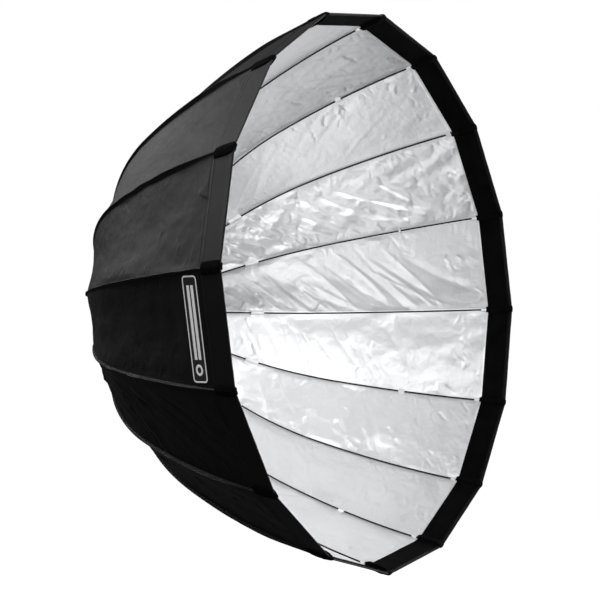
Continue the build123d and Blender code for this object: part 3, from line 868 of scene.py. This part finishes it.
def make_pocket(rib):
    """The padded pocket over the rod's tip, and the roll that goes from it over the rim and the band."""
    u, v = np.linspace(-1, 1, 23)[None], np.linspace(-1, 1, 31)[:, None]
    squared_u, squared_v = u * np.sqrt(1 - 0.10 * v**2), v * np.sqrt(1 - 0.06 * u**2)
    across = squared_u * POCKET_WIDTH / 2
    down = FABRIC.length - POCKET_LENGTH / 2 + 0.001 + squared_v * POCKET_LENGTH / 2
    rim = np.clip((1 - np.abs(u) ** 3.2) * (1 - np.abs(v) ** 5), 0, 1) ** 0.5
    dents = 0.0007 * layered_noise(across * 110 + 30 * rib, down * 80, 41) * rim
    high = 0.0008 + (POCKET_HEIGHT - 0.0008) * rim * (0.86 + 0.14 * np.exp(-((u / 0.45) ** 2))) + dents
    mount(make_slab(f"tip_pocket_{rib_name(rib)}", rib, across, down, 0.0003, high, LOOP), rib)
    rim_s = FABRIC.length
    inner = -(float(rod_gap(rim_s - BAND_WIDTH / 2)[0]) + ROD_RADIUS + 0.0034)
    path = [(rim_s - 0.016, 0.0030), (rim_s - 0.006, 0.0032), (rim_s + 0.0004, 0.0024),
            (rim_s + 0.0024, 0.0004), (rim_s + 0.0026, -0.0022), (rim_s + 0.0008, -0.0042),
            (rim_s - 0.0040, -0.0062), (rim_s - 0.0090, inner + 0.0012)]
    path += [(rim_s - x, inner - 0.0004 * sin(pi * x / BAND_WIDTH)) for x in np.linspace(0.015, 0.052, 11)]
    path += [(rim_s - 0.0575, inner + 0.0006), (rim_s - 0.0608, inner + 0.0030),
             (rim_s - 0.0615, inner + 0.0058)]
    path = np.array(path)
    along_path = np.concatenate([[0], np.cumsum(np.linalg.norm(np.diff(path, axis=0), axis=1))])
    steps = np.linspace(0, along_path[-1], 46)
    path = np.stack([np.interp(steps, along_path, path[:, i]) for i in range(2)], axis=1)
    for _ in range(3):
        path[1:-1] = (path[:-2] + 2 * path[1:-1] + path[2:]) / 4
    end = np.minimum(steps, steps[-1] - steps)
    thick = (0.0012 + 0.0009 * ease((steps - 0.026) / 0.012)) * np.sqrt(np.clip(end / 0.002, 0.12, 1))
    wide = STRAP_WIDTH / 2 * (0.93 + 0.07 * np.sin(steps * 260 + rib))
    wide *= 0.9 + 0.1 * np.clip(end / 0.003, 0, 1)
    mount(make_strap(f"tip_roll_{rib_name(rib)}", rib, path, wide, thick, LOOP), rib)


def make_loop_over_rod(name, rib, start, end, half_width, taper=1.0):
    """A silver loop of fabric sewn down on both sides of the rod."""
    down = np.linspace(start, end, 12)[:, None]
    u = np.linspace(-1, 1, 25)[None]
    narrow = 1 - (1 - taper) * (down - start) / (end - start)
    across = u * half_width * narrow
    tall = rod_gap(down) + ROD_RADIUS + 0.0004
    tent = np.clip(1 - (np.abs(across) - 0.0018) / 0.0052, 0, 1)
    under = FABRIC_THICKNESS / 2 + 0.0005 + (tall - 0.0009) * ease(tent)
    pulled = 0.0009 * layered_noise(across * 260 + 11 * rib, down * 220, 71)
    piece = make_slab(name, rib, across, down, -under, -under - 0.0008 - np.abs(pulled), SILVER)
    mount(piece, rib)


TWISTED_KEEPER = 3  # the rib whose middle keeper is twisted to a thin cord


def make_keepers(rib):
    number = rib_name(rib)
    band = FABRIC.length - BAND_WIDTH
    make_loop_over_rod(f"rod_sleeve_{number}", rib, band + 0.004, band - 0.016, 0.0085, 0.55)
    deep = down_at(RIM_Y + 0.941 * RIM_RADIUS)
    make_loop_over_rod(f"deep_keeper_{number}", rib, deep - 0.017, deep + 0.017, 0.011)
    if rib % 2:
        middle = down_at(RIM_Y + 0.407 * RIM_RADIUS)
        half = 0.0022 if rib == TWISTED_KEEPER else 0.0075
        make_loop_over_rod(f"middle_keeper_{number}", rib, middle - half, middle + half, 0.010)


HUB_WALL_RADIUS, COLLAR_Y = 0.0948, -0.0195


def make_collar(rib):
    """The gathered fabric between the hub's wall and the canopy's first row."""
    t, f = np.linspace(0, 1, 22)[:, None], np.linspace(-1, 1, 33)[None]
    half = float(gore_width(0.0)[0]) / 2
    last = on_rib(rib, f * half, np.zeros_like(f), 0.0)[0]
    then = on_rib(rib, f * half, np.full_like(f, 0.006), 0.0)[0]
    turn = rib_angle(rib) + f[0] * HALF_GORE
    wall = np.stack([np.sin(turn), 0 * turn, np.cos(turn)], axis=1)
    first = wall * HUB_WALL_RADIUS + FORWARD * COLLAR_Y
    leave = first + wall * 0.0045 + FORWARD * 0.0012
    arrive = last - (then - last) * 1.1
    points = (first * ((1 - t) ** 3)[..., None] + leave * (3 * t * (1 - t) ** 2)[..., None]
              + arrive * (3 * t**2 * (1 - t))[..., None] + last * (t**3)[..., None])
    gather = 0.0010 * np.sin(f * 5 * pi + rib) + 0.0006 * value_noise(f * 9 + 5 * rib, 0 * f, 77)
    lift = wall * 0.6 + FORWARD * 0.8
    points = points + lift * (gather * 4 * t * (1 - t) ** 1.5)[..., None]
    normals = np.cross(np.gradient(points, axis=1), np.gradient(points, axis=0))
    normals /= np.linalg.norm(normals, axis=2)[..., None]
    if normals[10, 16] @ FORWARD < 0:
        normals = -normals
    count = points.shape[0] * points.shape[1]
    outer, inner = (points + normals * side * FABRIC_THICKNESS / 2 for side in (1, -1))
    faces = np.concatenate([grid_faces(*points.shape[:2], 0, True), grid_faces(*points.shape[:2], count)])
    slots = [0] * (len(faces) // 2) + [1] * (len(faces) // 2)
    name = f"collar_{rib_name(rib)}"
    piece = link(name, mesh_from(name, np.concatenate([outer.reshape(-1, 3), inner.reshape(-1, 3)]), faces,
                                 [BLACK, SILVER], slots,
                                 np.concatenate([normals.reshape(-1, 3), -normals.reshape(-1, 3)])))
    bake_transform(piece)


def make_collar_hem():
    """The elastic hem that grips the hub's wall."""
    turn = np.linspace(0, 2 * pi, 289)[:-1]
    ring = np.linspace(0, 2 * pi, 13)[:-1]
    gather = 0.00035 * np.sin(turn * 80) + 0.0003 * value_noise(turn * 30, 0 * turn, 91)
    radius = 0.0954 + (0.0013 + gather)[:, None] * np.cos(ring)
    y = COLLAR_Y + 0.0002 + (0.0021 + gather)[:, None] * np.sin(ring)
    points = np.stack([radius * np.sin(turn)[:, None], y, radius * np.cos(turn)[:, None]], axis=-1)
    rows, sides = y.shape
    index = np.arange(rows * sides).reshape(rows, sides)
    down, side = np.roll(index, -1, axis=0), np.roll(index, -1, axis=1)
    faces = np.stack([index, side, np.roll(down, -1, axis=1), down], axis=-1).reshape(-1, 4)
    piece = close_mesh("collar_hem", points.reshape(-1, 3), faces, TAPE)
    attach(piece, "hub")


# ---- label: a plain woven tag with a border, a ring and two bars, and no words ----


def label_point(x, z, lift):
    """A point on the label: x along the rim from its middle, z down the gore."""
    down = LABEL_MIDDLE + z
    return canopy_lifted(LABEL_GORE, 0.5 + x / gore_width(down), down, lift)


def canopy_lifted(gore, u, down, lift):
    point, normal = canopy_at(gore, u, down)
    return point + normal * np.broadcast_to(lift, point.shape[:-1])[..., None]


def make_label_slab(name, rib, x, z, low, high, material):
    """A flat closed piece of the label over a grid of x and z."""
    x, z = np.broadcast_arrays(x, z)
    piece = close_slab(name, label_point(x, z, low), label_point(x, z, high), material)
    mount(piece, rib)


def make_label_half(rib, side):
    """The half of the label on one rib's side of the gore."""
    number = rib_name(rib)
    x = np.linspace(0, 1, 33)[None] * LABEL_HALF_LENGTH
    corner = np.clip((x - (LABEL_HALF_LENGTH - LABEL_CORNER)) / LABEL_CORNER, 0, 1)
    half = LABEL_HALF_WIDTH - LABEL_CORNER * (1 - np.sqrt(1 - corner**2))
    z = np.linspace(-1, 1, 11)[:, None] * half
    make_label_slab(f"label_{number}", rib, side * x, z, 0.0003, LABEL_LIFT, TAPE)

    inset, line = 0.0028, 0.0015
    turn = np.linspace(0, pi / 2, 9)
    reach, top = LABEL_HALF_LENGTH - inset, LABEL_HALF_WIDTH - inset
    round_x, round_z = reach - LABEL_CORNER * (1 - np.sin(turn)), top - LABEL_CORNER * (1 - np.cos(turn))
    path_x = np.concatenate([np.linspace(0, round_x[0], 20), round_x[1:], round_x[::-1],
                             np.linspace(round_x[0], 0, 20)[1:]])
    path_z = np.concatenate([np.full(20, top), round_z[1:], -round_z[::-1], np.full(19, -top)])
    ribbon(f"label_border_{number}", rib, side * path_x, path_z, line)
    if side < 0:
        middle, radius, whole_turn = -0.078, 0.0085, np.linspace(0, 2 * pi, 33)
        ribbon(f"label_ring_{number}", rib, middle + radius * np.cos(whole_turn), radius * np.sin(whole_turn),
               0.0026)
    bar_end = 0.084 if side > 0 else 0.058
    for place, row in (("upper", -1), ("lower", 1)):
        ribbon(f"label_bar_{place}_{number}", rib, side * np.linspace(0, bar_end, 24),
               np.full(24, row * 0.0062), 0.0042)


def ribbon(name, rib, x, z, half_line):
    """A flat printed line through points of the label."""
    tangent = np.stack([np.gradient(x), np.gradient(z)], axis=1)
    tangent /= np.linalg.norm(tangent, axis=1)[:, None]
    offset = np.array([-1, -0.8, 0.8, 1])[None] * half_line
    rise = np.array([0.0, 0.00022, 0.00022, 0.0])[None] + LABEL_LIFT + 0.00003
    make_label_slab(name, rib, x[:, None] - tangent[:, 1:] * offset, z[:, None] + tangent[:, :1] * offset,
                    LABEL_LIFT - 0.0001, rise + 0 * x[:, None], PRINT)


for rib in range(RIBS):
    for band in range(FOLD_BANDS):
        make_canopy_band(rib, band)
    make_rim_band(rib)
    make_hem(rib)
    make_seam_tape(rib)
    make_inner_seam(rib)
    make_hem_stitches(rib)
    make_pocket(rib)
    make_keepers(rib)
    make_collar(rib)
make_collar_hem()
make_label_half(LABEL_GORE, -1)
make_label_half(LABEL_GORE + 1, 1)

for name, node in nodes.items():
    for start, material in NODE_MATERIALS:
        if name.startswith(start):
            for slot in node.material_slots:
                slot.material = material


# ---- floor, backdrop and lights ----
FLOOR_Z, FLOOR_RADIUS, BACKDROP_RADIUS = -1.15, 14, 15
WORLD_LIGHT = 0.09


def hide_from_light(piece):
    """A backdrop that the camera sees and that lights nothing."""
    piece.visible_diffuse = piece.visible_glossy = piece.visible_transmission = False
    piece.visible_shadow = piece.visible_volume_scatter = False


def glowing(name, colour, strength):
    material = new_material(name, colour, 0.9)
    shader = material.node_tree.nodes["Principled BSDF"]
    shader.inputs["Emission Color"].default_value = (1, 1, 1, 1)
    shader.inputs["Emission Strength"].default_value = strength
    return material


def make_stage():
    world = bpy.data.worlds.new("studio")
    world.use_nodes = True
    background = world.node_tree.nodes["Background"]
    background.inputs["Color"].default_value = (1, 1, 1, 1)
    background.inputs["Strength"].default_value = WORLD_LIGHT
    bpy.context.scene.world = world
    bpy.context.scene.view_settings.view_transform = "Standard"

    turn = np.linspace(0, 2 * pi, 65)[:-1]
    rim = [(FLOOR_RADIUS * cos(a), FLOOR_RADIUS * sin(a), FLOOR_Z) for a in turn]
    floor_mesh = bpy.data.meshes.new("floor")
    floor_mesh.from_pydata(rim, [], [tuple(range(len(rim)))])
    floor_mesh.materials.append(glowing("floor", (0.8, 0.8, 0.8), 0.96))
    floor = link("floor", floor_mesh)

    dome_mesh = bpy.data.meshes.new("backdrop")
    shell = bmesh.new()
    bmesh.ops.create_uvsphere(shell, u_segments=48, v_segments=24, radius=BACKDROP_RADIUS)
    shell.to_mesh(dome_mesh)
    shell.free()
    dome_mesh.materials.append(glowing("backdrop", (0, 0, 0), 1.0))
    dome = link("backdrop", dome_mesh)
    for piece in (floor, dome):
        hide_from_light(piece)


def make_area_light(name, place, target, size, power):
    data = bpy.data.lights.new(name, "AREA")
    data.shape = "RECTANGLE"
    data.size, data.size_y = size
    data.energy = power
    light = bpy.data.objects.new(name, data)
    light.location = place
    light.rotation_mode = "QUATERNION"
    light.rotation_quaternion = (Vector(target) - Vector(place)).to_track_quat("-Z", "Y")
    bpy.context.scene.collection.objects.link(light)


make_stage()
make_area_light("top_light", (-1.0, 0.2, 2.5), (0, -0.4, 0), (1.2, 1.2), 48)
make_area_light("key_light", (0.2, -4.0, 2.1), (0.1, -0.4, 0), (2.0, 2.0), 40)
make_area_light("left_light", (-3.0, -3.2, 0.3), (0.1, -0.5, 0), (2.4, 2.4), 90)
make_area_light("right_light", (3.2, -3.0, 0.5), (-0.2, -0.5, 0), (2.4, 2.4), 235)
make_area_light("back_light", (-0.4, 3.3, 2.2), (0, -0.3, 0.1), (2.6, 1.4), 85)
